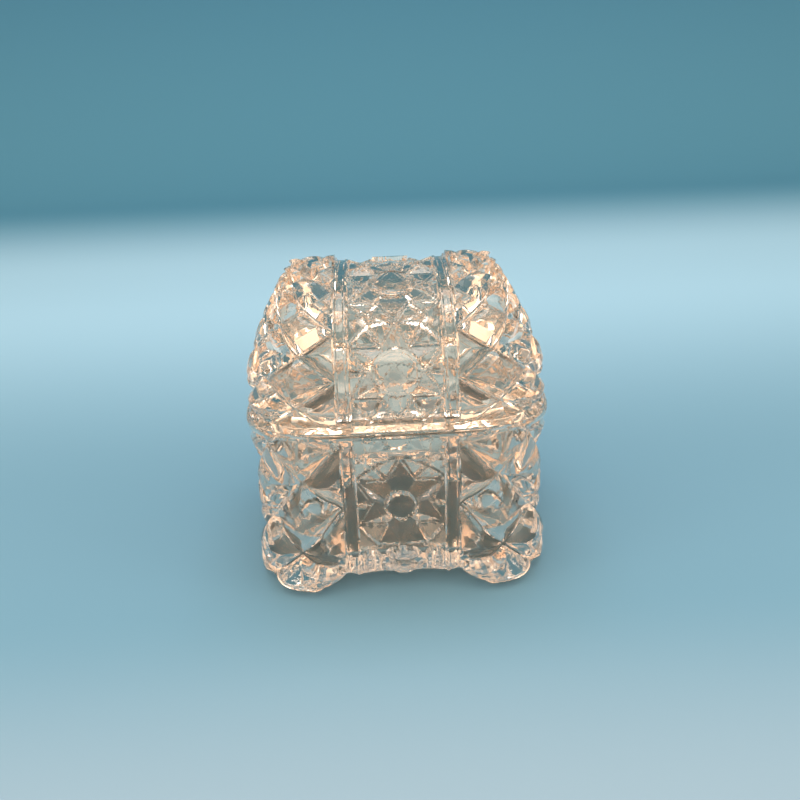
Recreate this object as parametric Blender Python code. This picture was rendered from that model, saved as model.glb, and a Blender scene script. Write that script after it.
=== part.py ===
"""A covered candy box of clear pressed glass, shaped like a small treasure chest.

Two pieces of glass: a dish that stands on four knobbed corner feet, and a domed
lid that lifts straight off. Both carry a lattice of raised diamond hobs at the
corners and ends, and a starred panel between two plain straps, front and back.
Metres, +Z up. The origin is on the table, under the middle of the dish.
"""

import math

import bmesh
import bpy
import numpy as np

# Driving dimensions
WIDTH = 0.110           # left to right over the hobs, at the rim
DEPTH = 0.098           # front to back over the hobs, at the rim
DISH_HEIGHT = 0.066     # from the table to the ledge that carries the lid
LID_RISE = 0.0437       # from the ledge to the crest between the hobs
HOB_HEIGHT = 0.0034     # how far a hob stands out from the grooves around it
STRAP_HEIGHT = 0.0020   # how far a strap stands out from the same grooves
PANEL_HALF = 0.01575    # half the width of the starred panel
STRAP_WIDTH = 0.00485
WALL = 0.0060           # glass from the groove bottoms to the smooth inside
SEAT_GAP = 0.0003       # between the ledge and the lid that lies on it

# The plan of the chest, a rounded rectangle
PLAN_POWER = 4.5
DOME_POWER = 2.2        # the section of the dome, from rim to crest
RIDGE_SHARE = 0.70      # length of the flat crest, as a share of the width
RIDGE_INSET = 0.6       # how far the crest of the hollow ends short of that, as a share of the glass's thickness
END_POWER = 3.0         # how straight the ends lean in from the rim to the crest
GROOVE_X = WIDTH / 2 - HOB_HEIGHT
GROOVE_Y = DEPTH / 2 - HOB_HEIGHT
CORNER_SHARE = 0.45     # from a strap to the corner line, as a share of the way to the middle of the end
CREST_CORNER_SHARE = 0.95   # the same at the crest, where the corner line has moved out to the ridge's end
SAMPLES = 241           # points used to measure along a curve

# The lattice of hobs, counted in half pitches
FRONT_CELLS = 2         # from a strap to the corner line
SIDE_CELLS = 3          # from the corner line to the middle of the end
STEPS = 2               # mesh steps in each half pitch
PANEL_STEPS = 3         # mesh steps from the middle of a panel to its strap
HOB_SLOPE = 0.55        # width of a hob's sloping side, in half pitches
DISH_LOW_LEVEL = -1.0   # lattice level of the dish's bottom edge
DISH_TOP_LEVEL = 3.3
LID_LOW_LEVEL = -0.65
LID_TOP_LEVEL = 7.0
RIM_RELIEF = 0.4        # share of the full relief where it starts, next to the ledge or the rim
END_FADE = 0.45         # spread of the dome under which the relief of the ends fades out

# The ledge, the ring that keeps the lid in place, and the hollow
LEDGE_DEPTH = 0.0026
LEDGE_REACH = 0.0026    # how far the ledge stands out from the grooves
LEDGE_EDGE = 0.0018     # height of the ledge's upright edge
RING_HEIGHT = 0.0030
RING_WIDTH = 0.0022
LID_CLEARANCE = 0.0006
RIM_BAND = 0.0020       # plain band at the foot of the lid
FLOOR_THICKNESS = 0.0055
HOLLOW_CORNER = 0.0060  # radius where the hollow's wall meets its floor
HOLLOW_STEPS = 3        # mesh steps round that radius
FLOOR_RING_SHARE = 0.5  # size of the one ring on the hollow's flat floor
DOME_STEPS_INSIDE = 7
FOLDED_HALF = 1e-9      # half depth of a ring that folds on to the ridge

# The feet and the underside
UNDERSIDE = 0.0055      # height of the underside above the table
FOOT_X = 0.0375
FOOT_Y = 0.0315
FOOT_RADIUS = 0.0175
FOOT_POWER = 3.0
FOOT_FLAT_GAIN = 1.45   # how much of the foot is flattened by the table
FOOT_BULGE = 0.0030
FOOT_LEVEL = -0.5       # lattice level where a foot bulges most
FOOT_LEVELS = 1.4       # lattice levels from there to the top of the bulge
DISH_TAPER = 0.03       # how much narrower the wall is at the bottom than at the rim
EDGE_LIFT = 0.0036      # how far the wall's lower edge is above the underside next to it
EDGE_SHARE = 0.9        # how far in the underside's height is read for that edge
UNDER_SHARES = (0.94, 0.30)     # sizes of the first and last rings of the underside
UNDER_RINGS = 7


def superellipse_y(x, half_x, half_y, power):
    """Distance from the middle to the outline's front, at a given x."""
    share = min(abs(x) / half_x, 1.0)
    return half_y * (1.0 - share**power) ** (1.0 / power)


def outline_quarter(half_x, half_y, power, corner_share):
    """Points of the outline from its middle front round to its middle right, one for each station.

    Stations on the panel and the strap keep their x. The rest share out the outline's
    length, to the corner line and then to the middle of the end.
    """
    angles = np.linspace(0.0, math.pi / 2, SAMPLES)
    path = np.stack(
        [half_x * np.sin(angles) ** (2 / power), -half_y * np.cos(angles) ** (2 / power)], axis=1
    )
    along = np.concatenate([[0.0], np.cumsum(np.linalg.norm(np.diff(path, axis=0), axis=1))])
    strap_edge = PANEL_HALF + STRAP_WIDTH
    from_strap = np.interp(strap_edge, path[:, 0], along)
    to_corner = from_strap + (along[-1] - from_strap) * corner_share
    points = []
    for kind, place in STATIONS:
        if kind == "flat":
            points.append((place, -superellipse_y(place, half_x, half_y, power)))
            continue
        if place <= FRONT_CELLS:
            distance = from_strap + (to_corner - from_strap) * place / FRONT_CELLS
        else:
            distance = to_corner + (along[-1] - to_corner) * (place - FRONT_CELLS) / SIDE_CELLS
        points.append((np.interp(distance, along, path[:, 0]), np.interp(distance, along, path[:, 1])))
    return np.array(points)


def quarter_stations():
    """Stations from the middle of the front to the middle of the end: flat x places, then lattice cells."""
    flats = [("flat", PANEL_HALF * step / PANEL_STEPS) for step in range(PANEL_STEPS + 1)]
    cells = [("cell", step / STEPS) for step in range((FRONT_CELLS + SIDE_CELLS) * STEPS + 1)]
    return flats + cells


def around(quarter):
    """A whole ring from its front right quarter, by mirroring it twice."""
    right = np.concatenate([quarter, (quarter * (1, -1))[-2::-1]])
    return np.concatenate([right, (right * (-1, 1))[-2:0:-1]])


def station_cells():
    """For each point of a ring, its lattice cell counted from the nearest strap, or -1 on a panel or strap."""
    quarter = [place if kind == "cell" else -1.0 for kind, place in quarter_stations()]
    right = quarter + quarter[-2::-1]
    return np.array(right + right[-2:0:-1])


STATIONS = quarter_stations()
CELLS = station_cells()


def ring(half_x, half_y, height, corner_share=CORNER_SHARE):
    """One closed ring of the body at a height, which may differ from point to point."""
    plan = around(outline_quarter(half_x, half_y, PLAN_POWER, corner_share))
    return np.column_stack([plan, np.broadcast_to(height, len(plan))])


def relief(cells, level):
    """How far each point of a ring stands out from the grooves, at a lattice level."""
    across = np.abs((cells + 1.0) % 2.0 - 1.0)
    along = abs((level + 1.0) % 2.0 - 1.0)
    from_hob = across + along
    from_hob = np.minimum(from_hob, 2.0 - from_hob)
    hob = HOB_HEIGHT * np.clip((1.0 - from_hob) / HOB_SLOPE, 0.0, 1.0)
    return np.where(cells < 0, STRAP_HEIGHT, np.maximum(hob, STRAP_HEIGHT * (cells == 0)))


def outward(rings):
    """Unit normals of a stack of rings, from the rings above and below and the points on each side."""
    stack = np.array(rings)
    sideways = np.roll(stack, -1, axis=1) - np.roll(stack, 1, axis=1)
    upward = np.gradient(stack, axis=0)
    normals = np.cross(sideways, upward)
    lengths = np.linalg.norm(normals, axis=2, keepdims=True)
    return normals / np.maximum(lengths, 1e-12)


def raised(rings, levels, shares):
    """A stack of rings with the lattice standing out from it, by a share of the full relief."""
    normals = outward(rings)
    return [
        flat + normal * (relief(CELLS, level) * share)[:, None]
        for flat, normal, level, share in zip(rings, normals, levels, shares)
    ]


def splits_forward(index, after, level, next_level):
    """Whether a quad of the lattice splits along its forward diagonal, so that the fold follows the hob.

    At the ends of the ridge it splits away from the fold, where the front and the back meet.
    """
    if level is None or next_level is None or min(CELLS[index], CELLS[after]) < 0:
        return True
    away = CELLS[after] > CELLS[index]
    if next_level == LID_TOP_LEVEL and max(CELLS[index], CELLS[after]) == FRONT_CELLS + SIDE_CELLS:
        return away
    same_way = away == (next_level > level)
    block = math.floor(min(CELLS[index], CELLS[after])) + math.floor(min(level, next_level))
    return same_way == (block % 2 == 1)


def solid_from_rings(name, rings, levels, pointed):
    """One closed body skinned over a stack of rings.

    A ring's level is its place in the lattice, or None off the lattice. A pointed body
    closes with a point at each end, and the others end in folded rings.
    """
    mesh = bpy.data.meshes.new(name)
    build = bmesh.new()
    rows = [[build.verts.new(point) for point in points] for points in rings]
    count = len(rows[0])
    for low, high, level, next_level in zip(rows, rows[1:], levels, levels[1:]):
        for index in range(count):
            after = (index + 1) % count
            if splits_forward(index, after, level, next_level):
                build.faces.new((low[index], low[after], high[after]))
                build.faces.new((low[index], high[after], high[index]))
            else:
                build.faces.new((low[index], low[after], high[index]))
                build.faces.new((low[after], high[after], high[index]))
    for row in (rows[0], rows[-1]) if pointed else ():
        middle = build.verts.new(np.mean([vertex.co for vertex in row], axis=0))
        for index in range(count):
            build.faces.new((row[index], row[(index + 1) % count], middle))
    bmesh.ops.remove_doubles(build, verts=build.verts, dist=1e-6)
    bmesh.ops.dissolve_degenerate(build, edges=build.edges, dist=1e-7)
    bmesh.ops.recalc_face_normals(build, faces=build.faces)
    build.to_mesh(mesh)
    build.free()
    piece = bpy.data.objects.new(name, mesh)
    bpy.context.collection.objects.link(piece)
    return piece


def dome_profile(share):
    """Spread and rise, each from 0 to 1, at a share of the dome's section from rim to crest."""
    angles = np.linspace(0.0, math.pi / 2, SAMPLES)
    spread = np.cos(angles) ** (2 / DOME_POWER)
    rise = np.sin(angles) ** (2 / DOME_POWER)
    steps = np.hypot(np.diff(spread) * GROOVE_Y, np.diff(rise) * LID_RISE)
    along = np.concatenate([[0.0], np.cumsum(steps)]) / steps.sum()
    angle = np.interp(share, along, angles)
    return math.cos(angle) ** (2 / DOME_POWER), math.sin(angle) ** (2 / DOME_POWER)


def dome_ring(share, inset, base, rise):
    """One ring of the dome, drawn in by an inset, at a share of the way from rim to crest."""
    spread, height = dome_profile(share)
    ridge = RIDGE_SHARE * GROOVE_X - inset * RIDGE_INSET
    half_x = ridge + (GROOVE_X - inset - ridge) * spread**END_POWER
    half_y = max((GROOVE_Y - inset) * spread, FOLDED_HALF)
    corner_share = CORNER_SHARE + (CREST_CORNER_SHARE - CORNER_SHARE) * (1.0 - spread) ** 2
    return ring(half_x, half_y, base + rise * height, corner_share)


def folded(points):
    """The crest ring, whose front and back points meet on the ridge."""
    return points * (1.0, 0.0, 1.0)


def foot_share(points):
    """How far each plan point is into a foot, from 0 on the open underside to 1 on the flat of the foot."""
    distance = np.hypot(np.abs(points[:, 0]) - FOOT_X, np.abs(points[:, 1]) - FOOT_Y)
    inside = 1.0 - np.minimum(distance / FOOT_RADIUS, 1.0) ** FOOT_POWER
    return np.clip(inside * FOOT_FLAT_GAIN, 0.0, 1.0)


def dish_outside():
    """Rings of the dish's outer wall, from under the ledge to the table, with their levels, and its underside."""
    top = DISH_HEIGHT - LEDGE_DEPTH
    count = round((DISH_TOP_LEVEL - DISH_LOW_LEVEL) * STEPS)
    levels = [DISH_TOP_LEVEL - step / STEPS for step in range(count + 1)]
    flat = []
    for level in levels:
        down = (DISH_TOP_LEVEL - level) / (DISH_TOP_LEVEL - DISH_LOW_LEVEL)
        taper = 1.0 - DISH_TAPER * down
        plan = ring(GROOVE_X * taper, GROOVE_Y * taper, 0.0)
        edge = UNDERSIDE * (1.0 - foot_share(plan * EDGE_SHARE)) + EDGE_LIFT
        plan[:, 2] = top + (edge - top) * down
        beside = (CELLS - FRONT_CELLS) / FRONT_CELLS
        above = (level - FOOT_LEVEL) / FOOT_LEVELS
        knob = np.sqrt(np.clip(1.0 - beside**2 - above**2, 0.0, None)) * (CELLS > 0)
        plan[:, :2] *= 1.0 + (knob * FOOT_BULGE / GROOVE_X)[:, None]
        flat.append(plan)
    wall = raised(flat, levels, [min(1.0, step / STEPS + RIM_RELIEF) for step in range(count + 1)])
    under = []
    for share in np.linspace(*UNDER_SHARES, UNDER_RINGS):
        plan = flat[-1] * (share, share, 1.0)
        plan[:, 2] = UNDERSIDE * (1.0 - foot_share(plan))
        under.append(plan)
    return wall, levels, under


def make_dish():
    """The footed dish: underside, outer wall, ledge, locating ring and hollow, as one skin."""
    wall, wall_levels, under = dish_outside()
    ledge_x = GROOVE_X + LEDGE_REACH
    ledge_y = GROOVE_Y + LEDGE_REACH
    hollow_x = GROOVE_X - WALL
    hollow_y = GROOVE_Y - WALL
    floor = UNDERSIDE + FLOOR_THICKNESS
    lip = DISH_HEIGHT + RING_HEIGHT
    inside = [ring(hollow_x * FLOOR_RING_SHARE, hollow_y * FLOOR_RING_SHARE, floor)]
    narrow = 1.0 - DISH_TAPER
    for step in range(HOLLOW_STEPS + 1):
        turn = step / HOLLOW_STEPS * math.pi / 2
        inset = HOLLOW_CORNER * (1.0 - math.sin(turn))
        height = floor + HOLLOW_CORNER * (1.0 - math.cos(turn))
        inside.append(ring(hollow_x * narrow - inset, hollow_y * narrow - inset, height))
    inside.append(ring(hollow_x, hollow_y, lip))
    inside.append(ring(hollow_x + RING_WIDTH, hollow_y + RING_WIDTH, lip))
    inside.append(ring(hollow_x + RING_WIDTH, hollow_y + RING_WIDTH, DISH_HEIGHT))
    inside.append(ring(ledge_x, ledge_y, DISH_HEIGHT))
    inside.append(ring(ledge_x, ledge_y, DISH_HEIGHT - LEDGE_EDGE))
    levels = [None] * len(inside) + wall_levels + [None] * len(under)
    return solid_from_rings("dish", inside + wall + under, levels, pointed=True)


def lid_relief(share):
    """Share of the full relief at each point of a ring: less at the rim, and none where the ends draw in."""
    spread, _ = dome_profile(share)
    near_rim = min(1.0, RIM_RELIEF + share * (LID_TOP_LEVEL - LID_LOW_LEVEL))
    return np.where(CELLS > FRONT_CELLS, near_rim * min(1.0, spread / END_FADE), near_rim)


def make_lid():
    """The domed lid: outer dome, plain rim band, seat and smooth inner dome, as one skin."""
    seat = DISH_HEIGHT + SEAT_GAP
    count = round((LID_TOP_LEVEL - LID_LOW_LEVEL) * STEPS)
    shares = [step / count for step in range(count + 1)]
    levels = [LID_LOW_LEVEL + (LID_TOP_LEVEL - LID_LOW_LEVEL) * share for share in shares]
    base = seat + RIM_BAND
    rise = LID_RISE - RIM_BAND
    flat = [dome_ring(share, 0.0, base, rise) for share in shares]
    dome = raised(flat, levels, [lid_relief(share) for share in shares])
    dome[-1] = folded(flat[-1])
    dome[-1][:, 2] += relief(CELLS, LID_TOP_LEVEL) * (CELLS <= FRONT_CELLS)
    band = ring(GROOVE_X + STRAP_HEIGHT, GROOVE_Y + STRAP_HEIGHT, seat)
    mouth = WALL - RING_WIDTH - LID_CLEARANCE
    inner_base = base + RING_HEIGHT
    inner_rise = rise - RING_HEIGHT - WALL
    inside = [
        dome_ring(step / DOME_STEPS_INSIDE, WALL, inner_base, inner_rise)
        for step in range(DOME_STEPS_INSIDE, -1, -1)
    ]
    inside[0] = folded(inside[0])
    inside.append(ring(GROOVE_X - mouth, GROOVE_Y - mouth, seat + RING_HEIGHT + LID_CLEARANCE))
    inside.append(ring(GROOVE_X - mouth, GROOVE_Y - mouth, seat))
    inside.append(band)
    return solid_from_rings("lid", inside + dome, [None] * len(inside) + levels, pointed=False)


def glass(name, tint, roughness):
    """Clear pressed glass with a faint tint."""
    material = bpy.data.materials.new(name)
    material.use_nodes = True
    shader = material.node_tree.nodes["Principled BSDF"]
    shader.inputs["Base Color"].default_value = (*tint, 1.0)
    shader.inputs["Metallic"].default_value = 0.0
    shader.inputs["Roughness"].default_value = roughness
    shader.inputs["IOR"].default_value = 1.52
    shader.inputs["Transmission Weight"].default_value = 1.0
    return material


def clear_scene():
    """Remove whatever the file opened with."""
    for item in list(bpy.data.objects):
        bpy.data.objects.remove(item, do_unlink=True)


def main():
    clear_scene()
    dish = make_dish()
    dish.data.materials.append(glass("dish_glass", (0.93, 0.95, 0.96), 0.04))
    lid = make_lid()
    lid.data.materials.append(glass("lid_glass", (0.95, 0.94, 0.92), 0.04))


main()
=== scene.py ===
import math

import bmesh
import bpy
import numpy as np
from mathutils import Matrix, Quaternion, Vector


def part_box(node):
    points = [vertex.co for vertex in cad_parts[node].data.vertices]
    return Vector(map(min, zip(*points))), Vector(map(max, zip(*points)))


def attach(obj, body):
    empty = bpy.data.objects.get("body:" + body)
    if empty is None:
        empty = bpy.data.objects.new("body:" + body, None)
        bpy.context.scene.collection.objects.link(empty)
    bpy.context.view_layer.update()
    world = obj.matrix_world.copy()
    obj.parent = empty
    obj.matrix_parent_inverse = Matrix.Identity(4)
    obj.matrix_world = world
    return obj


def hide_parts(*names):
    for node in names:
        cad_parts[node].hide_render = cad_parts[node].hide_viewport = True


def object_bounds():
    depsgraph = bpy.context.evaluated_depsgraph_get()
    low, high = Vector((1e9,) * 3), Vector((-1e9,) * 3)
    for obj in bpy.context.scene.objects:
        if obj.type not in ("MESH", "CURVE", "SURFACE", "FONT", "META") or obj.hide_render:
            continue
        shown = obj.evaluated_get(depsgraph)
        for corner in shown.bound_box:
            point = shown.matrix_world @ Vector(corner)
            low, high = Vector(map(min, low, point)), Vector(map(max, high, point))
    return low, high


bl_info = {
    "name": "Pressed glass candy box",
    "version": (1, 0, 0),
    "blender": (4, 5, 0),
    "location": "View3D > Sidebar > Candy Box",
    "description": "Builds a covered candy box of clear pressed glass around its packed frame",
    "category": "Add Mesh",
}

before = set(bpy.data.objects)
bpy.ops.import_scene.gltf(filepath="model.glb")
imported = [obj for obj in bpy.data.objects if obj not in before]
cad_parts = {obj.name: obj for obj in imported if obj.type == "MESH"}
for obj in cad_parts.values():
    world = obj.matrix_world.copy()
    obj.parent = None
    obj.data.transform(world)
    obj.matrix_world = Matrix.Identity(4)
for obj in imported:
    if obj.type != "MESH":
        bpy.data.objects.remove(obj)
CAD_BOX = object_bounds()
DISH_LOW, DISH_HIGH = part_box("dish")
LID_LOW, LID_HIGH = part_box("lid")
MM = 0.001


# ---------------------------------------------------------------- sizes and looks

class BoxSizes(bpy.types.PropertyGroup):
    """Sizes of the chest that both pieces share."""

    hob_height: bpy.props.FloatProperty(
        name="Hob height", description="How far a hob stands out from the grooves",
        default=3.0 * MM, min=0.0, unit="LENGTH")
    strap_height: bpy.props.FloatProperty(
        name="Strap height", description="How far a strap stands out from the grooves",
        default=0.6 * MM, min=0.0, unit="LENGTH")
    groove_depth: bpy.props.FloatProperty(
        name="Groove depth", description="How far the grooves between the hobs are cut into the body",
        default=2.2 * MM, min=0.0, unit="LENGTH")
    panel_half: bpy.props.FloatProperty(
        name="Panel half width", description="Half the width of the starred panel",
        default=15.75 * MM, min=0.0, unit="LENGTH")
    strap_width: bpy.props.FloatProperty(
        name="Strap width", description="Width of one plain strap",
        default=4.85 * MM, min=0.0, unit="LENGTH")
    wall: bpy.props.FloatProperty(
        name="Wall", description="Glass between the grooves and the smooth inside",
        default=6.0 * MM, min=0.0, unit="LENGTH")
    ledge_reach: bpy.props.FloatProperty(
        name="Ledge reach", description="How far the dish's ledge stands out from the grooves",
        default=2.9 * MM, min=0.0, unit="LENGTH")
    star_pitch: bpy.props.FloatProperty(
        name="Star pitch", description="Length of panel that one star fills, point to point",
        default=35.8 * MM, min=0.0, unit="LENGTH")
    star_height: bpy.props.FloatProperty(
        name="Star height", description="How far the middle of a star would stand out",
        default=4.6 * MM, min=0.0, unit="LENGTH")
    panel_recess: bpy.props.FloatProperty(
        name="Panel recess", description="How far the starred panel lies below the grooves",
        default=1.8 * MM, min=0.0, unit="LENGTH")
    dish_button: bpy.props.FloatProperty(
        name="Dish button radius", description="Radius of the flat button in the middle of the dish's star",
        default=4.9 * MM, min=0.0, unit="LENGTH")
    lid_button: bpy.props.FloatProperty(
        name="Lid button radius", description="Radius of the flat buttons in the middle of the lid's stars",
        default=6.8 * MM, min=0.0, unit="LENGTH")


class GlassLook(bpy.types.PropertyGroup):
    """Colour and finish of the glass."""

    tint: bpy.props.FloatVectorProperty(
        name="Tint", description="Colour that the glass gives to light passing through",
        default=(1.0, 0.865, 0.76), min=0.0, max=1.0, size=3, subtype="COLOR")
    refraction: bpy.props.FloatProperty(
        name="Refraction", description="Index of refraction", default=1.52, min=1.0, max=2.0)
    roughness: bpy.props.FloatProperty(
        name="Roughness", description="Roughness of the fire-polished surface",
        default=0.02, min=0.0, max=1.0, subtype="FACTOR")


class StageLook(bpy.types.PropertyGroup):
    """Floor, lights and camera."""

    # Painted shadow: the floor round the chest gets this darker, duller blue to stand for the chest's soft
    # shadow
    floor_shadow_colour: bpy.props.FloatVectorProperty(
        name="Floor", description="Colour of the floor round the chest",
        default=(0.160, 0.340, 0.500), min=0.0, max=1.0, size=3, subtype="COLOR")
    near_colour: bpy.props.FloatVectorProperty(
        name="Near floor", description="Colour of the floor in front of the chest",
        default=(0.27, 0.425, 0.58), min=0.0, max=1.0, size=3, subtype="COLOR")
    bright_colour: bpy.props.FloatVectorProperty(
        name="Bright floor", description="Colour of the pale band of floor behind the chest",
        default=(0.325, 0.58, 0.81), min=0.0, max=1.0, size=3, subtype="COLOR")
    wall_colour: bpy.props.FloatVectorProperty(
        name="Wall", description="Colour of the paper where it sweeps up",
        default=(0.085, 0.27, 0.43), min=0.0, max=1.0, size=3, subtype="COLOR")
    elevation: bpy.props.FloatProperty(
        name="Elevation", description="How far the camera looks down",
        default=math.radians(24.5), subtype="ANGLE")
    azimuth: bpy.props.FloatProperty(
        name="Azimuth", description="How far the camera stands round to the chest's left",
        default=math.radians(1.0), subtype="ANGLE")
    roll: bpy.props.FloatProperty(
        name="Roll", description="How far the camera leans to its right",
        default=math.radians(2.2), subtype="ANGLE")
    distance: bpy.props.FloatProperty(
        name="Distance", description="From the camera to the middle of the chest",
        default=0.312, min=0.0, unit="LENGTH")
    aim_right: bpy.props.FloatProperty(
        name="Aim to the right", description="How far right of the chest's middle the camera aims",
        default=1.6 * MM, unit="LENGTH")


def sizes():
    return bpy.context.scene.candy_box


# ---------------------------------------------------------------- the form of the chest

PLAN_POWER = 4.5        # roundness of the chest's plan
DOME_POWER = 2.2        # roundness of the dome's section
RIDGE_SHARE = 0.70      # length of the flat crest, as a share of the width
RIDGE_INSET = 0.6       # how far the hollow's crest ends short of that, as a share of the glass's thickness
END_POWER = 3.0         # how straight the ends lean in from the rim to the crest
CORNER_SHARE = 0.45     # from a strap to the corner line, as a share of the way to the middle of the end
CREST_CORNER_SHARE = 0.95   # the same at the crest
FRONT_CELLS = 2         # half pitches of the lattice from a strap to the corner line
SIDE_CELLS = 3          # half pitches from the corner line to the middle of the end
CELL_STEPS = 18         # mesh steps in one half pitch
PANEL_STEPS = 36        # mesh steps from the middle of a panel to its strap
STRAP_STEPS = 11        # mesh steps across a strap
SAMPLES = 481           # points used to measure along a curve
ON_LINE = 1e-6          # a place this close under a lattice line, in half pitches, counts as on it
SAME_POINT = 0.001 * MM
SLIVER = 0.0001 * MM


def superellipse(half_x, half_y, power):
    """A quarter of a rounded rectangle, from its middle front to its middle right, and its running length."""
    angles = np.linspace(0.0, math.pi / 2, SAMPLES)
    path_x = half_x * np.sin(angles) ** (2 / power)
    path_y = -half_y * np.cos(angles) ** (2 / power)
    along = np.concatenate([[0.0], np.cumsum(np.hypot(np.diff(path_x), np.diff(path_y)))])
    return path_x, path_y, along


class Stations:
    """The places round the chest where its skin has points, and what each one lies on."""

    def __init__(self, box):
        strap_edge = box.panel_half + box.strap_width
        panel = np.linspace(0.0, box.panel_half, PANEL_STEPS, endpoint=False)
        strap = np.linspace(box.panel_half, strap_edge, STRAP_STEPS, endpoint=False)
        self.flat_x = np.concatenate([panel, strap])
        self.cells = np.arange((FRONT_CELLS + SIDE_CELLS) * CELL_STEPS + 1) / CELL_STEPS
        self.strap_edge = strap_edge
        quarter_cell = np.concatenate([np.full(len(self.flat_x), -1.0), self.cells])
        quarter_panel = np.concatenate([panel, np.full(len(strap) + len(self.cells), -1.0)])
        self.cell = self.mirrored(quarter_cell)
        self.panel = self.mirrored(quarter_panel)
        quarter_strap = np.full(len(quarter_panel), -1.0)
        quarter_strap[PANEL_STEPS:PANEL_STEPS + STRAP_STEPS] = np.arange(STRAP_STEPS) / STRAP_STEPS
        self.strap = self.mirrored(quarter_strap)

    def mirrored(self, quarter):
        """Values for a whole ring from those of its front right quarter."""
        right = np.concatenate([quarter, quarter[-2::-1]])
        return np.concatenate([right, right[-2:0:-1]])

    def plan(self, half_x, half_y, corner_share=CORNER_SHARE):
        """Points of one ring in plan."""
        path_x, path_y, along = superellipse(half_x, half_y, PLAN_POWER)
        share = np.minimum(self.flat_x / half_x, 1.0)
        flat_y = -half_y * (1.0 - share**PLAN_POWER) ** (1.0 / PLAN_POWER)
        start = np.interp(self.strap_edge, path_x, along)
        corner = start + (along[-1] - start) * corner_share
        knots = [0.0, FRONT_CELLS, FRONT_CELLS + SIDE_CELLS]
        place = np.interp(self.cells, knots, [start, corner, along[-1]])
        quarter_x = np.concatenate([self.flat_x, np.interp(place, along, path_x)])
        quarter_y = np.concatenate([flat_y, np.interp(place, along, path_y)])
        right_x = np.concatenate([quarter_x, quarter_x[-2::-1]])
        right_y = np.concatenate([quarter_y, -quarter_y[-2::-1]])
        ring_x = np.concatenate([right_x, -right_x[-2:0:-1]])
        ring_y = np.concatenate([right_y, right_y[-2:0:-1]])
        return np.column_stack([ring_x, ring_y, np.zeros(len(ring_x))])


class Skin:
    """A stack of rings that becomes one closed body, with the facts that the relief reads."""

    def __init__(self, stations):
        self.stations = stations
        self.rings = []
        self.levels = []
        self.rises = []
        self.fades = []

    def add(self, points, level=None, rise=0.0, fade=0.0):
        """Add a ring. Level is its place in the lattice, rise its distance up the panel, fade its relief."""
        count = len(self.stations.cell)
        self.rings.append(points)
        self.levels.append(level)
        self.rises.append(np.broadcast_to(rise, count))
        self.fades.append(np.broadcast_to(fade, count))

    def faces(self):
        """Two triangles for each quad, split along the folds of the lattice."""
        cell = self.stations.cell
        count = len(cell)
        index = np.arange(count)
        after = (index + 1) % count
        rows = []
        for row in range(len(self.rings) - 1):
            low, high = row * count, (row + 1) * count
            forward = np.ones(count, bool)
            if self.levels[row] is not None and self.levels[row + 1] is not None:
                lowest = min(self.levels[row], self.levels[row + 1])
                climbs = self.levels[row + 1] > self.levels[row]
                nearest = np.minimum(cell, cell[after])
                block = np.floor(nearest + ON_LINE) + math.floor(lowest + ON_LINE)
                away = cell[after] > cell
                along_fold = (away == climbs) == (block % 2 == 1)
                forward = np.where(nearest < 0, True, along_fold)
                if row == len(self.rings) - 2:
                    forward = np.where(np.maximum(cell, cell[after]) == cell.max(), away, forward)
            a, b = low + index, low + after
            c, d = high + after, high + index
            first = np.where(forward[:, None], np.stack([a, b, c], 1), np.stack([a, b, d], 1))
            second = np.where(forward[:, None], np.stack([a, c, d], 1), np.stack([b, c, d], 1))
            rows += [first, second]
        return np.concatenate(rows)

    def build(self, name, pointed):
        """The body as an object, closed by a point at each end or by the folds its end rings make."""
        count = len(self.stations.cell)
        points = np.concatenate(self.rings)
        faces = self.faces()
        if pointed:
            ends = [points[:count].mean(axis=0), points[-count:].mean(axis=0)]
            index = np.arange(count)
            after = (index + 1) % count
            last = len(points) - count
            first_cap = np.stack([after, index, np.full(count, len(points))], 1)
            last_cap = np.stack([last + index, last + after, np.full(count, len(points) + 1)], 1)
            points = np.concatenate([points, ends])
            faces = np.concatenate([faces, first_cap, last_cap])
        mesh = bpy.data.meshes.new(name)
        mesh.from_pydata(points.tolist(), [], faces.tolist())
        self.store(mesh, "cell", np.tile(self.stations.cell, len(self.rings)))
        self.store(mesh, "panel", np.tile(self.stations.panel, len(self.rings)))
        self.store(mesh, "strap", np.tile(self.stations.strap, len(self.rings)))
        levels = [0.0 if level is None else level for level in self.levels]
        self.store(mesh, "level", np.repeat(levels, count))
        self.store(mesh, "rise", np.concatenate(self.rises))
        self.store(mesh, "fade", np.concatenate(self.fades))
        build = bmesh.new()
        build.from_mesh(mesh)
        bmesh.ops.remove_doubles(build, verts=build.verts, dist=SAME_POINT)
        bmesh.ops.dissolve_degenerate(build, edges=build.edges, dist=SLIVER)
        bmesh.ops.recalc_face_normals(build, faces=build.faces)
        build.to_mesh(mesh)
        build.free()
        piece = bpy.data.objects.new(name, mesh)
        bpy.context.collection.objects.link(piece)
        return piece

    def store(self, mesh, name, values):
        """Keep one number for each point. Points past the rings, at closed ends, keep 0."""
        attribute = mesh.attributes.new(name, "FLOAT", "POINT")
        padded = np.zeros(len(mesh.vertices), np.float32)
        padded[:len(values)] = values
        attribute.data.foreach_set("value", padded)


# ---------------------------------------------------------------- the relief, in geometry nodes

# Hobs, in half pitches and shares of their height
GROOVE_FLOOR = 0.06     # half the flat floor of a groove
HOB_SIDE = 2.3          # slope of a side, up from its groove
HOB_SHOULDER = 0.75     # slope of the gentler facet above it
HOB_SHOULDER_START = 0.52
HOB_CORNER = 1.30       # height of the corner facets' planes over the middle of the hob
HOB_CORNER_FALL = 0.95  # how fast those planes fall towards the corners
HOB_ROUNDNESS = 0.5     # how far the facets bulge towards a pillow

# The raised lines along a strap: their place from its middle and half width in strap widths, and height
STRAP_LINE_PLACE = 0.36
STRAP_LINE_HALF = 0.12
STRAP_LINE = 0.5 * MM

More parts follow.
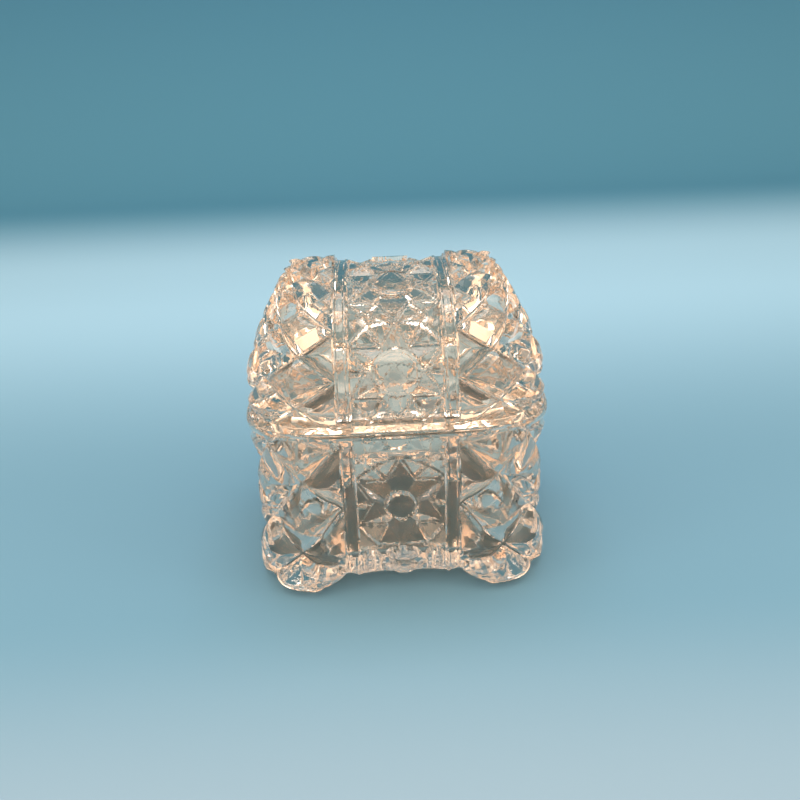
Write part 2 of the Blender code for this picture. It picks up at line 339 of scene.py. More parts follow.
# Stars, in metres and shares of their height
LINE_HALF = 0.7 * MM    # half the width of a raised line
LINE_SHARE = 0.16
RIB_HALF_TURN = 0.06    # half the width of a rib in the middle of a fan, in radians
FAN_SHARE = 0.75        # slope of the fans between the points, as a share of the star's
BUTTON_RING = 1.22      # the groove round a button, as a share of its radius
RING_FLOOR = 0.25
BUTTON_TOP = 0.68
# The ovals under a star: centre, from the star's lowest point, and half sizes
UPPER_OVAL = ((0.0, -4.2 * MM), (6.3 * MM, 2.9 * MM))
LOWER_OVAL = ((0.0, -9.6 * MM), (5.2 * MM, 2.0 * MM))
SIDE_OVAL = ((11.5 * MM, -6.5 * MM), (3.6 * MM, 4.6 * MM))
OVAL_SHARE = 0.75

INPUTS = (
    "Hob height", "Groove depth", "Strap height", "Star pitch", "Star height", "Button radius", "Star start",
    "Stars", "Recess",
)
FACTS = ("cell", "panel", "strap", "level", "rise", "fade")     # what each point of the mesh tells the relief
SHARP_ANGLE = math.radians(20)      # edges sharper than this stay crisp


class Formula:
    """Writes arithmetic as math nodes, so that a rule reads like a formula."""

    def __init__(self, tree):
        self.tree = tree

    def __call__(self, operation, *values):
        node = self.tree.nodes.new("ShaderNodeMath")
        node.operation = operation
        for socket, value in zip(node.inputs, values):
            if isinstance(value, bpy.types.NodeSocket):
                self.tree.links.new(value, socket)
            else:
                socket.default_value = value
        return node.outputs[0]

    def attribute(self, name):
        """A number stored on the mesh."""
        node = self.tree.nodes.new("GeometryNodeInputNamedAttribute")
        node.data_type = "FLOAT"
        node.inputs["Name"].default_value = name
        return node.outputs["Attribute"]

    def clamp(self, value, low=0.0, high=1.0):
        return self("MINIMUM", self("MAXIMUM", value, low), high)

    def choose(self, test, otherwise, chosen):
        """Chosen where the test is 1, and otherwise where it is 0."""
        unchosen = self("MULTIPLY", otherwise, self("SUBTRACT", 1.0, test))
        return self("ADD", self("MULTIPLY", chosen, test), unchosen)


def hob_relief(f, height, groove):
    """Height of the diamond hobs: four sides, four smaller facets at the corners, and a table, all bulging.

    The grooves between them have a flat floor, lower than the plain body by the groove's depth.
    """
    def offset(name):
        """How far a point is from the lattice's nearest even line, in half pitches."""
        wrapped = f("FLOORED_MODULO", f("ADD", f.attribute(name), 1.0), 2.0)
        return f("ABSOLUTE", f("SUBTRACT", wrapped, 1.0))

    across = offset("cell")
    along = offset("level")
    far = f("GREATER_THAN", f("ADD", across, along), 1.0)
    across = f.choose(far, across, f("SUBTRACT", 1.0, across))
    along = f.choose(far, along, f("SUBTRACT", 1.0, along))
    from_edge = f("SUBTRACT", f("SUBTRACT", 1.0, f("ADD", across, along)), GROOVE_FLOOR)
    widest = f("MAXIMUM", across, along)
    side = f("MULTIPLY", from_edge, HOB_SIDE)
    shoulder = f("ADD", f("MULTIPLY", from_edge, HOB_SHOULDER), HOB_SHOULDER_START)
    corner = f("SUBTRACT", HOB_CORNER, f("MULTIPLY", widest, HOB_CORNER_FALL))
    facets = f.clamp(f("MINIMUM", f("MINIMUM", side, shoulder), corner))
    fall = f("SUBTRACT", 1.0, f.clamp(from_edge))
    pillow = f("SQRT", f("SUBTRACT", 1.0, f("MULTIPLY", fall, fall)))
    top = f.choose(HOB_ROUNDNESS, facets, pillow)
    return f("SUBTRACT", f("MULTIPLY", top, f("ADD", height, groove)), groove)


def oval(f, across, up, centre, half):
    """A domed oval: 1 at its centre and 0 from its edge outwards."""
    a = f("DIVIDE", f("SUBTRACT", across, centre[0]), half[0])
    b = f("DIVIDE", f("SUBTRACT", up, centre[1]), half[1])
    inside = f("SUBTRACT", 1.0, f("ADD", f("MULTIPLY", a, a), f("MULTIPLY", b, b)))
    return f("SQRT", f("MAXIMUM", inside, 0.0))


def ridge(f, distance, half_width):
    """A raised line: 1 where the distance is 0, falling to 0 at its half width."""
    return f("MAXIMUM", f("SUBTRACT", 1.0, f("DIVIDE", f("ABSOLUTE", distance), half_width)), 0.0)


def star_relief(f, pitch, height, button, offset, count, recess):
    """Height of the panel's six-pointed stars, with a button in the middle and fans between the points.

    The panel between the stars' points lies lower than the grooves by the recess.
    """
    across = f.attribute("panel")
    rise = f("SUBTRACT", f.attribute("rise"), offset)
    half_pitch = f("MULTIPLY", pitch, 0.5)
    along = f("SUBTRACT", f("FLOORED_MODULO", rise, pitch), half_pitch)
    radius = f("SQRT", f("ADD", f("MULTIPLY", across, across), f("MULTIPLY", along, along)))
    sixth = math.pi / 3
    turn = f("FLOORED_MODULO", f("ADD", f("ARCTAN2", across, along), sixth / 2), sixth)
    turn = f("ABSOLUTE", f("SUBTRACT", turn, sixth / 2))
    reach = f("MULTIPLY", radius, f("COSINE", turn))
    aside = f("MULTIPLY", radius, f("SINE", turn))
    slope = math.tan(sixth / 2)
    inside = f("SUBTRACT", f("MULTIPLY", f("SUBTRACT", half_pitch, reach), slope), aside)
    share = f("DIVIDE", inside, f("MULTIPLY", half_pitch, slope))
    fan = f("MULTIPLY", f("ABSOLUTE", f("MINIMUM", share, 0.0)), FAN_SHARE)
    star = f("ADD", f("MAXIMUM", share, 0.0), fan)
    star = f("ADD", star, f("MULTIPLY", ridge(f, inside, LINE_HALF), LINE_SHARE))
    star = f("ADD", star, f("MULTIPLY", ridge(f, f("SUBTRACT", radius, half_pitch), LINE_HALF), LINE_SHARE))
    rib = f("MULTIPLY", ridge(f, f("SUBTRACT", turn, sixth / 2), RIB_HALF_TURN), LINE_SHARE)
    star = f("ADD", star, f("MULTIPLY", rib, f("LESS_THAN", inside, 0.0)))
    in_ring = f("LESS_THAN", radius, f("MULTIPLY", button, BUTTON_RING))
    star = f.choose(in_ring, star, RING_FLOOR)
    star = f.choose(f("LESS_THAN", radius, button), star, BUTTON_TOP)
    here = f("MULTIPLY", f("GREATER_THAN", rise, 0.0), f("LESS_THAN", rise, f("MULTIPLY", pitch, count)))
    below = f("LESS_THAN", rise, 0.0)
    gems = oval(f, across, rise, *UPPER_OVAL)
    gems = f("MAXIMUM", gems, oval(f, across, rise, *LOWER_OVAL))
    gems = f("MAXIMUM", gems, oval(f, f("ABSOLUTE", across), rise, *SIDE_OVAL))
    star = f("ADD", f("MULTIPLY", star, here), f("MULTIPLY", f("MULTIPLY", gems, OVAL_SHARE), below))
    return f("SUBTRACT", f("MULTIPLY", star, height), recess)


def relief_tree():
    """The node tree that presses hobs, straps and stars into a smooth body."""
    tree = bpy.data.node_groups.new("Pressed relief", "GeometryNodeTree")
    tree.interface.new_socket("Geometry", in_out="INPUT", socket_type="NodeSocketGeometry")
    for name in INPUTS:
        tree.interface.new_socket(name, in_out="INPUT", socket_type="NodeSocketFloat")
    tree.interface.new_socket("Glass", in_out="INPUT", socket_type="NodeSocketMaterial")
    tree.interface.new_socket("Geometry", in_out="OUTPUT", socket_type="NodeSocketGeometry")
    source = tree.nodes.new("NodeGroupInput")
    sink = tree.nodes.new("NodeGroupOutput")
    f = Formula(tree)
    value = source.outputs
    hobs = hob_relief(f, value["Hob height"], value["Groove depth"])
    stars = star_relief(
        f, value["Star pitch"], value["Star height"], value["Button radius"],
        value["Star start"], value["Stars"], value["Recess"])
    on_lattice = f("GREATER_THAN", f.attribute("cell"), -0.5)
    on_panel = f("GREATER_THAN", f.attribute("panel"), -0.5 * MM)
    from_middle = f("ABSOLUTE", f("SUBTRACT", f.attribute("strap"), 0.5))
    from_line = f("SUBTRACT", from_middle, STRAP_LINE_PLACE)
    outline = f("MULTIPLY", ridge(f, from_line, STRAP_LINE_HALF), STRAP_LINE)
    flat = f.choose(on_panel, f("ADD", value["Strap height"], outline), stars)
    height = f("MULTIPLY", f.choose(on_lattice, flat, hobs), f.attribute("fade"))
    normal = tree.nodes.new("GeometryNodeInputNormal")
    push = tree.nodes.new("ShaderNodeVectorMath")
    push.operation = "SCALE"
    tree.links.new(normal.outputs["Normal"], push.inputs[0])
    tree.links.new(height, push.inputs["Scale"])
    move = tree.nodes.new("GeometryNodeSetPosition")
    tree.links.new(value["Geometry"], move.inputs["Geometry"])
    tree.links.new(push.outputs["Vector"], move.inputs["Offset"])
    realize = tree.nodes.new("GeometryNodeRealizeInstances")
    tree.links.new(move.outputs["Geometry"], realize.inputs["Geometry"])
    paint = tree.nodes.new("GeometryNodeSetMaterial")
    tree.links.new(realize.outputs["Geometry"], paint.inputs["Geometry"])
    tree.links.new(value["Glass"], paint.inputs["Material"])
    tree.links.new(paint.outputs["Geometry"], sink.inputs["Geometry"])
    return tree


def press(piece, material, star_start, stars, button_radius):
    """Press the relief into a body and leave it a plain mesh."""
    box = sizes()
    tree = bpy.data.node_groups.get("Pressed relief") or relief_tree()
    modifier = piece.modifiers.new("Relief", "NODES")
    modifier.node_group = tree
    values = {
        "Hob height": box.hob_height,
        "Groove depth": box.groove_depth,
        "Strap height": box.strap_height,
        "Star pitch": box.star_pitch,
        "Star height": box.star_height,
        "Button radius": button_radius,
        "Star start": star_start,
        "Stars": stars,
        "Recess": box.panel_recess,
        "Glass": material,
    }
    for item in tree.interface.items_tree:
        if item.item_type == "SOCKET" and item.in_out == "INPUT" and item.name in values:
            modifier[item.identifier] = values[item.name]
    graph = bpy.context.evaluated_depsgraph_get()
    pressed = bpy.data.meshes.new_from_object(piece.evaluated_get(graph))
    piece.modifiers.remove(modifier)
    pressed.name = piece.name
    piece.data = pressed
    for name in FACTS:
        pressed.attributes.remove(pressed.attributes[name])
    pressed.shade_smooth()
    pressed.set_sharp_from_angle(angle=SHARP_ANGLE)


# ---------------------------------------------------------------- materials

GLASS_WAVES = 220.0             # waves of the surface in a metre
GLASS_WAVE_DETAIL = 3.0
GLASS_WAVE_STRENGTH = 0.25
GLASS_WAVE_HEIGHT = 0.3 * MM
GLASS_HAZE = (0.4, 1.6)         # least and most roughness, as shares of the stated roughness


def glass_material(name, tint):
    """Clear glass whose surface has the soft waviness of pressing and fire polishing."""
    look = bpy.context.scene.candy_glass
    material = bpy.data.materials.new(name)
    material.use_nodes = True
    nodes = material.node_tree.nodes
    links = material.node_tree.links
    shader = nodes["Principled BSDF"]
    shader.inputs["Base Color"].default_value = (*tint, 1.0)
    shader.inputs["Transmission Weight"].default_value = 1.0
    shader.inputs["IOR"].default_value = look.refraction
    place = nodes.new("ShaderNodeTexCoord")
    waves = nodes.new("ShaderNodeTexNoise")
    waves.inputs["Scale"].default_value = GLASS_WAVES
    waves.inputs["Detail"].default_value = GLASS_WAVE_DETAIL
    links.new(place.outputs["Object"], waves.inputs["Vector"])
    bump = nodes.new("ShaderNodeBump")
    bump.inputs["Strength"].default_value = GLASS_WAVE_STRENGTH
    bump.inputs["Distance"].default_value = GLASS_WAVE_HEIGHT
    links.new(waves.outputs["Fac"], bump.inputs["Height"])
    links.new(bump.outputs["Normal"], shader.inputs["Normal"])
    haze = nodes.new("ShaderNodeMapRange")
    haze.inputs["To Min"].default_value = look.roughness * GLASS_HAZE[0]
    haze.inputs["To Max"].default_value = look.roughness * GLASS_HAZE[1]
    links.new(waves.outputs["Fac"], haze.inputs["Value"])
    links.new(haze.outputs["Result"], shader.inputs["Roughness"])
    return material


# ---------------------------------------------------------------- the two pieces

# The ledge, the ring that keeps the lid in place, the seat and the hollow
SEAT_GAP = 0.3 * MM         # between the ledge and the lid that lies on it
LEDGE_DEPTH = 2.6 * MM
LEDGE_ROUNDING = 0.5 * MM
LEDGE_EDGE = 1.4 * MM       # from the ledge down to where its edge turns in
LEDGE_UNDER = 2.1 * MM      # from the ledge down to the bottom of its rounding
LEDGE_UNDERCUT = 0.8 * MM
RING_WIDTH = 2.2 * MM
LIP_CHAMFER = 0.6 * MM      # on the inside of the locating ring
LIP_ROUNDING = 0.5 * MM     # on its outside
LID_CLEARANCE = 0.6 * MM
SEAT_CHAMFER = 0.4 * MM
SEAT_REACH = 1.5 * MM       # how far the lid's flat seat stands out from the grooves
RIM_BAND = 2.0 * MM
RIM_REACH = 1.9 * MM        # how far the band above it does
FLOOR_THICKNESS = 5.5 * MM
FLOOR_RING_SHARE = 0.5      # size of the one ring on the hollow's flat floor
HOLLOW_CORNER = 6.0 * MM
HOLLOW_STEPS = 8
DOME_STEPS_INSIDE = 14
FOLDED_HALF = 0.001 * MM    # half depth of a ring that folds on to the ridge

# Where the lattice of each piece starts and ends, and how the relief fades in
DISH_LEVELS = (-1.0, 3.3)
LID_LEVELS = (-0.65, 7.0)
LEDGE_FADE = 2.0            # share of the full relief gained in each half pitch below the ledge
RIM_RELIEF = 0.45           # share of the full relief where it starts above the lid's rim
END_FADE = 0.45             # spread of the dome under which the relief of the ends fades out

# The underside, its edge and the feet
DISH_TAPER = 0.03           # how much narrower the wall is at the bottom than at the rim
UNDERSIDE = 5.5 * MM
UNDER_SHARES = (0.97, 0.28)     # sizes of the first and last rings of the underside
UNDER_RINGS = 26
EDGE_LIFT = 3.6 * MM        # how far the wall's lower edge is above the underside next to it
EDGE_SHARE = 0.9            # how far in the underside's height is read for that edge
EDGE_BLEND = 0.88           # size of the ring of the underside where the edge's rounding ends
SCALLOP_PITCH = 15.75 * MM  # of the bottom edge between the feet
SCALLOP_DEPTH = 1.1 * MM
FOOT_X = 37.5 * MM
FOOT_Y = 31.5 * MM
FOOT_RADIUS = 18.5 * MM
FOOT_POWER = 3
FOOT_FLAT_GAIN = 1.45       # how much of the foot is flattened by the table
FOOT_BULGE = 3.8 * MM
FOOT_CALM = 0.35            # how much shallower the hobs are on a foot
FOOT_LEVEL = -0.7           # lattice level where a foot bulges most
FOOT_LEVELS = 1.5           # lattice levels from there to the top of the bulge

# Where the stars lie on each panel, measured up the panel
DISH_STAR_START = 19.2 * MM
DISH_STARS = 1.0
LID_STAR_START = 0.0
LID_STARS = 2.0


def groove_half():
    """Half the width and half the depth of the chest at its grooves, from the dish's ledge."""
    reach = sizes().ledge_reach
    return DISH_HIGH.x - reach, DISH_HIGH.y - reach


def foot_share(points):
    """How far plan points are into a foot, from 0 on the open underside to 1 on its flat."""
    distance = np.hypot(np.abs(points[:, 0]) - FOOT_X, np.abs(points[:, 1]) - FOOT_Y)
    return np.clip((1.0 - np.minimum(distance / FOOT_RADIUS, 1.0) ** FOOT_POWER) * FOOT_FLAT_GAIN, 0.0, 1.0)


def dish_wall(skin, groove_x, groove_y, top):
    """Rings of the outer wall from the ledge down to the bottom edge."""
    low, high = DISH_LEVELS
    count = round((high - low) * CELL_STEPS)
    cell = skin.stations.cell
    for step in range(count + 1):
        level = high - step / CELL_STEPS
        down = (high - level) / (high - low)
        taper = 1.0 - DISH_TAPER * down
        plan = skin.stations.plan(groove_x * taper, groove_y * taper)
        scallop = np.cos(2 * math.pi * plan[:, 0] / SCALLOP_PITCH) * (cell < 0) * SCALLOP_DEPTH
        edge = UNDERSIDE * (1.0 - foot_share(plan * (EDGE_SHARE, EDGE_SHARE, 1.0))) + EDGE_LIFT - scallop
        plan[:, 2] = top + (edge - top) * down
        beside = (cell - FRONT_CELLS) / FRONT_CELLS
        above = (level - FOOT_LEVEL) / FOOT_LEVELS
        knob = np.sqrt(np.clip(1.0 - beside**2 - above**2, 0.0, None)) * (cell > 0)
        plan[:, :2] *= 1.0 + (knob * FOOT_BULGE / groove_x)[:, None]
        near_ledge = min(1.0, step / CELL_STEPS * LEDGE_FADE)
        skin.add(plan, level, plan[:, 2], near_ledge * (1.0 - FOOT_CALM * knob))
    return plan


def dish_underside(skin, edge_plan):
    """Rings of the underside, from the bottom edge in to the middle, down over each foot."""
    for share in np.linspace(*UNDER_SHARES, UNDER_RINGS):
        plan = edge_plan * (share, share, 1.0)
        flat = UNDERSIDE * (1.0 - foot_share(plan))
        blend = np.clip((share - EDGE_BLEND) / (1.0 - EDGE_BLEND), 0.0, 1.0)
        plan[:, 2] = flat + (edge_plan[:, 2] - flat) * blend**2
        skin.add(plan)


def make_dish():
    """The footed dish as one body: hollow, locating ring, ledge, outer wall and underside."""
    box = sizes()
    groove_x, groove_y = groove_half()
    seat = LID_LOW.z - SEAT_GAP
    stations = Stations(box)
    skin = Skin(stations)

    def level_ring(reach, height, middle_x=groove_x, middle_y=groove_y):
        """A flat ring that stands out from an outline by a reach."""
        plan = stations.plan(middle_x + reach, middle_y + reach)
        plan[:, 2] = height
        skin.add(plan)

    hollow_x, hollow_y = groove_x - box.wall, groove_y - box.wall
    floor = UNDERSIDE + FLOOR_THICKNESS
    level_ring(0.0, floor, hollow_x * FLOOR_RING_SHARE, hollow_y * FLOOR_RING_SHARE)
    narrow = 1.0 - DISH_TAPER
    for turn in np.linspace(0.0, math.pi / 2, HOLLOW_STEPS):
        inset = HOLLOW_CORNER * (1.0 - math.sin(turn))
        height = floor + HOLLOW_CORNER * (1.0 - math.cos(turn))
        level_ring(-inset, height, hollow_x * narrow, hollow_y * narrow)
    lip = DISH_HIGH.z
    ring_profile = (
        (0.0, lip - LIP_CHAMFER),
        (LIP_CHAMFER, lip),
        (RING_WIDTH - LIP_ROUNDING, lip),
        (RING_WIDTH, lip - LIP_ROUNDING),
        (RING_WIDTH, seat),
    )
    for reach, height in ring_profile:
        level_ring(reach, height, hollow_x, hollow_y)
    ledge_profile = (
        (box.ledge_reach - LEDGE_ROUNDING, seat),
        (box.ledge_reach, seat - LEDGE_ROUNDING),
        (box.ledge_reach, seat - LEDGE_EDGE),
        (box.ledge_reach - LEDGE_UNDERCUT, seat - LEDGE_UNDER),
    )
    for reach, height in ledge_profile:
        level_ring(reach, height)
    edge = dish_wall(skin, groove_x, groove_y, seat - LEDGE_DEPTH)
    dish_underside(skin, edge)
    return skin.build("footed_dish", pointed=True)


def dome_profile(share, half_y, rise):
    """Spread and rise, each from 0 to 1, at a share of the dome's section, and the section's length."""
    angles = np.linspace(0.0, math.pi / 2, SAMPLES)
    spread = np.cos(angles) ** (2 / DOME_POWER)
    height = np.sin(angles) ** (2 / DOME_POWER)
    along = np.concatenate([[0.0], np.cumsum(np.hypot(np.diff(spread) * half_y, np.diff(height) * rise))])
    angle = np.interp(share * along[-1], along, angles)
    return math.cos(angle) ** (2 / DOME_POWER), math.sin(angle) ** (2 / DOME_POWER), along[-1]


def dome_ring(stations, share, inset, base, rise):
    """One ring of the dome, drawn in by an inset, and its share of the full spread."""
    groove_x, groove_y = groove_half()
    spread, height, _ = dome_profile(share, groove_y, rise)
    ridge = RIDGE_SHARE * groove_x - inset * RIDGE_INSET
    half_x = ridge + (groove_x - inset - ridge) * spread**END_POWER
    half_y = max((groove_y - inset) * spread, FOLDED_HALF)
    corner_share = CORNER_SHARE + (CREST_CORNER_SHARE - CORNER_SHARE) * (1.0 - spread) ** 2
    plan = stations.plan(half_x, half_y, corner_share)
    plan[:, 2] = base + rise * height
    return plan, spread


def make_lid():
    """The domed lid as one body: inner dome, seat, plain rim band and outer dome."""
    box = sizes()
    groove_x, groove_y = groove_half()
    seat = LID_LOW.z
    base = seat + RIM_BAND
    rise = LID_HIGH.z - box.hob_height - base
    stations = Stations(box)
    skin = Skin(stations)
    ring_height = DISH_HIGH.z - seat
    inner_rise = rise - ring_height - box.wall
    for step in range(DOME_STEPS_INSIDE, -1, -1):
        plan, _ = dome_ring(stations, step / DOME_STEPS_INSIDE, box.wall, base + ring_height, inner_rise)
        if step == DOME_STEPS_INSIDE:
            plan[:, 1] = 0.0
        skin.add(plan)
    mouth = box.wall - RING_WIDTH - LID_CLEARANCE
    seat_profile = (
        (mouth, seat + ring_height + LID_CLEARANCE),
        (mouth, seat + SEAT_CHAMFER),
        (mouth - SEAT_CHAMFER, seat),
        (-SEAT_REACH, seat),
        (-RIM_REACH, seat + SEAT_CHAMFER),
    )
    for inset, height in seat_profile:
        plan = stations.plan(groove_x - inset, groove_y - inset)
        plan[:, 2] = height
        skin.add(plan)
    low, high = LID_LEVELS
    count = round((high - low) * CELL_STEPS)
    _, _, length = dome_profile(1.0, groove_y, rise)
    cell = stations.cell
    for step in range(count + 1):
        share = step / count
        plan, spread = dome_ring(stations, share, 0.0, base, rise)
        if step == count:
            plan[:, 1] = 0.0
        level = low + (high - low) * share
        near_rim = min(1.0, RIM_RELIEF + step / CELL_STEPS)
        at_ends = np.where(cell > FRONT_CELLS, min(1.0, spread / END_FADE), 1.0)
        skin.add(plan, level, share * length, near_rim * at_ends)
    return skin.build("domed_lid", pointed=False)


# ---------------------------------------------------------------- stage

FLOOR_REACH = 3.0       # how far the paper reaches to the sides and in front
FLOOR_GAP = 0.3 * MM    # air under the feet, which touch the floor only in places
WALL_DISTANCE = 1.05
WALL_HEIGHT = 2.0
SWEEP_RADIUS = 0.30     # of the paper's bend from the floor up to the wall
SWEEP_STEPS = 17
PAPER_PLACES = (        # distance behind the chest, and the colour of the paper there
    (-0.15, "near_colour"),
    # from here to 0.03 m behind the chest the paper is painted darker, as painted shadow of the chest
    (-0.05, "floor_shadow_colour"),
    (0.03, "floor_shadow_colour"),
    (0.33, "bright_colour"),
    (0.43, "bright_colour"),
    (0.75, "wall_colour"),
)
PAPER_ROUGHNESS = 0.7
PAPER_SHINE = 0.04
PAPER_GRAIN = 900.0     # grains of the paper in a metre
PAPER_GRAIN_STRENGTH = 0.1
PAPER_GRAIN_HEIGHT = 0.1 * MM
LIGHT_TARGET = (0.0, 0.0, 0.06)
LIGHTS = (              # name, place, width and height, brightness, colour
    ("overhead", (0.0, 0.12, 0.80), (0.50, 0.40), 3.0, (0.96, 0.98, 1.0)),
    ("left", (-0.75, -0.35, 0.45), (0.30, 0.45), 2.2, (1.0, 0.82, 0.66)),
    ("right", (0.75, -0.30, 0.50), (0.30, 0.40), 2.2, (1.0, 0.84, 0.70)),
    ("front", (-0.10, -0.80, 0.75), (0.50, 0.20), 2.5, (1.0, 0.85, 0.72)),
    ("low", (0.0, -0.75, 0.13), (0.70, 0.16), 2.6, (1.0, 0.82, 0.66)),
)
GLASS_BOUNCES = 24      # light has to pass many surfaces of glass
GLOSSY_BOUNCES = 16
LENS = 36.0             # focal length and sensor width of the camera, in millimetres
SENSOR = 36.0
ROOM_FLOOR = (0.30, 0.24, 0.19)
ROOM_WALL = (0.52, 0.38, 0.27)
ROOM_CEILING = (1.0, 0.78, 0.58)
ROOM_STRENGTH = 1.8


# ---------------------------------------------------------------- operators

class CANDY_OT_dish(bpy.types.Operator):
    """Build the footed dish of pressed glass"""

    bl_idname = "candy.dish"
    bl_label = "Footed dish"

    def execute(self, context):
        look = context.scene.candy_glass
        piece = make_dish()
        glass = glass_material("Dish glass", look.tint)
        press(piece, glass, DISH_STAR_START, DISH_STARS, sizes().dish_button)
        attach(piece, "dish")
        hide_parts("dish")
        return {"FINISHED"}


class CANDY_OT_lid(bpy.types.Operator):
    """Build the domed lid of pressed glass"""

    bl_idname = "candy.lid"
    bl_label = "Domed lid"

    def execute(self, context):
        look = context.scene.candy_glass
        piece = make_lid()
        glass = glass_material("Lid glass", look.tint)
        press(piece, glass, LID_STAR_START, LID_STARS, sizes().lid_button)
        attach(piece, "lid")
        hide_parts("lid")
        return {"FINISHED"}


class CANDY_OT_stage(bpy.types.Operator):
    """Build the floor, the lights and the camera"""

    bl_idname = "candy.stage"
    bl_label = "Stage"

    def execute(self, context):
        make_floor(context.scene.candy_stage)
        make_lights()
        make_camera(context.scene.candy_stage)
        return {"FINISHED"}


def sweep_profile():
    """The paper's side view, as distance behind the chest and height: flat, then curving up to a wall."""
    bend = [
        (WALL_DISTANCE - SWEEP_RADIUS * (1.0 - math.sin(turn)), SWEEP_RADIUS * (1.0 - math.cos(turn)))
        for turn in np.linspace(0.0, math.pi / 2, SWEEP_STEPS)
    ]
    return [(-FLOOR_REACH, 0.0), *bend, (WALL_DISTANCE, WALL_HEIGHT)]


def make_floor(look):
    """A pale floor with painted shadow round the chest, which sweeps up behind the chest to a darker wall."""
    profile = sweep_profile()
    mesh = bpy.data.meshes.new("floor")
    points = [(side * FLOOR_REACH, y, z - FLOOR_GAP) for y, z in profile for side in (-1, 1)]
    faces = [(2 * i, 2 * i + 1, 2 * i + 3, 2 * i + 2) for i in range(len(profile) - 1)]
    mesh.from_pydata(points, [], faces)
    mesh.shade_smooth()
    floor = bpy.data.objects.new("floor", mesh)
    bpy.context.collection.objects.link(floor)
    mesh.materials.append(paper_material(look))


def colour_ramp(nodes, stops):
    """A smooth ramp through colours at places from 0 to 1."""
    ramp = nodes.new("ShaderNodeValToRGB")
    ramp.color_ramp.interpolation = "EASE"
    elements = ramp.color_ramp.elements
    for index, (place, colour) in enumerate(stops):
        element = elements[index] if index < len(elements) else elements.new(place)
        element.position = place
        element.color = (*colour, 1.0)
    return ramp


def paper_material(look):
    """Matt paper, painted a darker blue round the chest as painted shadow, paler in front of it and behind,
    and darker up the wall.
    """
    material = bpy.data.materials.new("Floor paper")
    material.use_nodes = True
    nodes = material.node_tree.nodes
    links = material.node_tree.links
    shader = nodes["Principled BSDF"]
    shader.inputs["Roughness"].default_value = PAPER_ROUGHNESS
    shader.inputs["Specular IOR Level"].default_value = PAPER_SHINE
    place = nodes.new("ShaderNodeTexCoord")
    split = nodes.new("ShaderNodeSeparateXYZ")
    links.new(place.outputs["Object"], split.inputs["Vector"])
    near, far = PAPER_PLACES[0][0], PAPER_PLACES[-1][0]
    along = nodes.new("ShaderNodeMapRange")
    along.inputs["From Min"].default_value = near
    along.inputs["From Max"].default_value = far
    links.new(split.outputs["Y"], along.inputs["Value"])
    stops = [((place_y - near) / (far - near), getattr(look, colour)) for place_y, colour in PAPER_PLACES]
    paper = colour_ramp(nodes, stops)
    links.new(along.outputs["Result"], paper.inputs["Fac"])
    links.new(paper.outputs["Color"], shader.inputs["Base Color"])
    grain = nodes.new("ShaderNodeTexNoise")
    grain.inputs["Scale"].default_value = PAPER_GRAIN
    links.new(place.outputs["Object"], grain.inputs["Vector"])
    bump = nodes.new("ShaderNodeBump")
    bump.inputs["Strength"].default_value = PAPER_GRAIN_STRENGTH
    bump.inputs["Distance"].default_value = PAPER_GRAIN_HEIGHT
    links.new(grain.outputs["Fac"], bump.inputs["Height"])
    links.new(bump.outputs["Normal"], shader.inputs["Normal"])
    return material


def area_light(name, place, size, radiance, colour):
    """A soft rectangular light that faces the chest. Its power follows from its size and its brightness."""
    light = bpy.data.lights.new(name, "AREA")
    light.shape = "RECTANGLE"
    light.size, light.size_y = size
    light.energy = radiance * math.pi * size[0] * size[1]
    light.color = colour
    lamp = bpy.data.objects.new(name, light)
    lamp.location = place
    lamp.rotation_euler = (Vector(LIGHT_TARGET) - Vector(place)).to_track_quat("-Z", "Y").to_euler()
    bpy.context.collection.objects.link(lamp)


def make_lights():
    """A soft panel overhead and warm ones beside the camera, in a warm dim room."""
    for light in LIGHTS:
        area_light(*light)
    scene = bpy.context.scene
    scene.world = room_light()
    scene.view_settings.view_transform = "Standard"
    scene.cycles.caustics_reflective = False
    scene.cycles.max_bounces = GLASS_BOUNCES
    scene.cycles.transmission_bounces = GLASS_BOUNCES
    scene.cycles.glossy_bounces = GLOSSY_BOUNCES


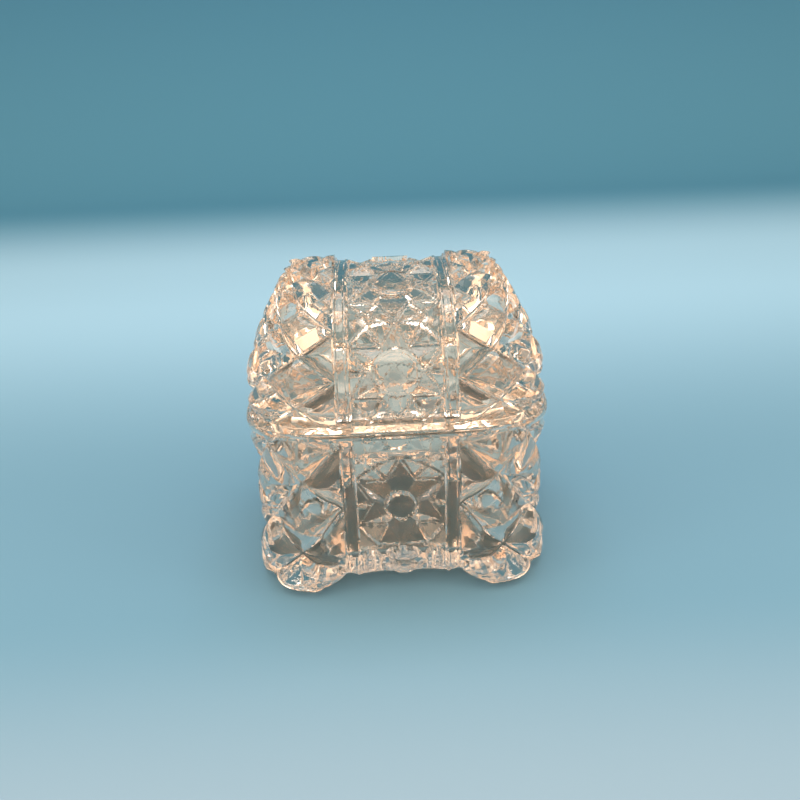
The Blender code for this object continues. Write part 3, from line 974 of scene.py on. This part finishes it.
def room_light():
    """A warm room: dim below, brighter towards the ceiling."""
    world = bpy.data.worlds.new("room")
    world.use_nodes = True
    nodes = world.node_tree.nodes
    links = world.node_tree.links
    place = nodes.new("ShaderNodeTexCoord")
    split = nodes.new("ShaderNodeSeparateXYZ")
    links.new(place.outputs["Generated"], split.inputs["Vector"])
    up = nodes.new("ShaderNodeMapRange")
    up.inputs["From Min"].default_value = -1.0
    links.new(split.outputs["Z"], up.inputs["Value"])
    ramp = colour_ramp(nodes, [(0.0, ROOM_FLOOR), (0.5, ROOM_WALL), (1.0, ROOM_CEILING)])
    links.new(up.outputs["Result"], ramp.inputs["Fac"])
    background = nodes["Background"]
    background.inputs["Strength"].default_value = ROOM_STRENGTH
    links.new(ramp.outputs["Color"], background.inputs["Color"])
    return world


def make_camera(look):
    """A camera in front of the chest and above it."""
    camera = bpy.data.cameras.new("camera")
    camera.lens = LENS
    camera.sensor_width = SENSOR
    eye = bpy.data.objects.new("camera", camera)
    low, high = CAD_BOX
    middle = (Vector(low) + Vector(high)) / 2 + Vector((look.aim_right, 0.0, 0.0))
    back = Vector((
        -math.sin(look.azimuth) * math.cos(look.elevation),
        -math.cos(look.azimuth) * math.cos(look.elevation),
        math.sin(look.elevation),
    ))
    eye.location = middle + back * look.distance
    facing = (-back).to_track_quat("-Z", "Y") @ Quaternion((0.0, 0.0, 1.0), -look.roll)
    eye.rotation_euler = facing.to_euler()
    bpy.context.collection.objects.link(eye)
    bpy.context.scene.camera = eye


class CANDY_PT_panel(bpy.types.Panel):
    """Lists the pieces that can be built"""

    bl_label = "Candy box"
    bl_idname = "CANDY_PT_panel"
    bl_space_type = "VIEW_3D"
    bl_region_type = "UI"
    bl_category = "Candy Box"

    def draw(self, context):
        for operator in PIECES:
            self.layout.operator(operator.bl_idname)
        for group in (context.scene.candy_box, context.scene.candy_glass, context.scene.candy_stage):
            for name in group.bl_rna.properties.keys():
                if name not in ("rna_type", "name"):
                    self.layout.prop(group, name)


PIECES = (CANDY_OT_dish, CANDY_OT_lid, CANDY_OT_stage)
CLASSES = (BoxSizes, GlassLook, StageLook, *PIECES, CANDY_PT_panel)


def register():
    for cls in CLASSES:
        bpy.utils.register_class(cls)
    bpy.types.Scene.candy_box = bpy.props.PointerProperty(type=BoxSizes)
    bpy.types.Scene.candy_glass = bpy.props.PointerProperty(type=GlassLook)
    bpy.types.Scene.candy_stage = bpy.props.PointerProperty(type=StageLook)


def unregister():
    del bpy.types.Scene.candy_stage
    del bpy.types.Scene.candy_glass
    del bpy.types.Scene.candy_box
    for cls in reversed(CLASSES):
        bpy.utils.unregister_class(cls)


def main():
    register()
    bpy.ops.candy.dish()
    bpy.ops.candy.lid()
    bpy.ops.candy.stage()


if __name__ == "__main__":
    main()
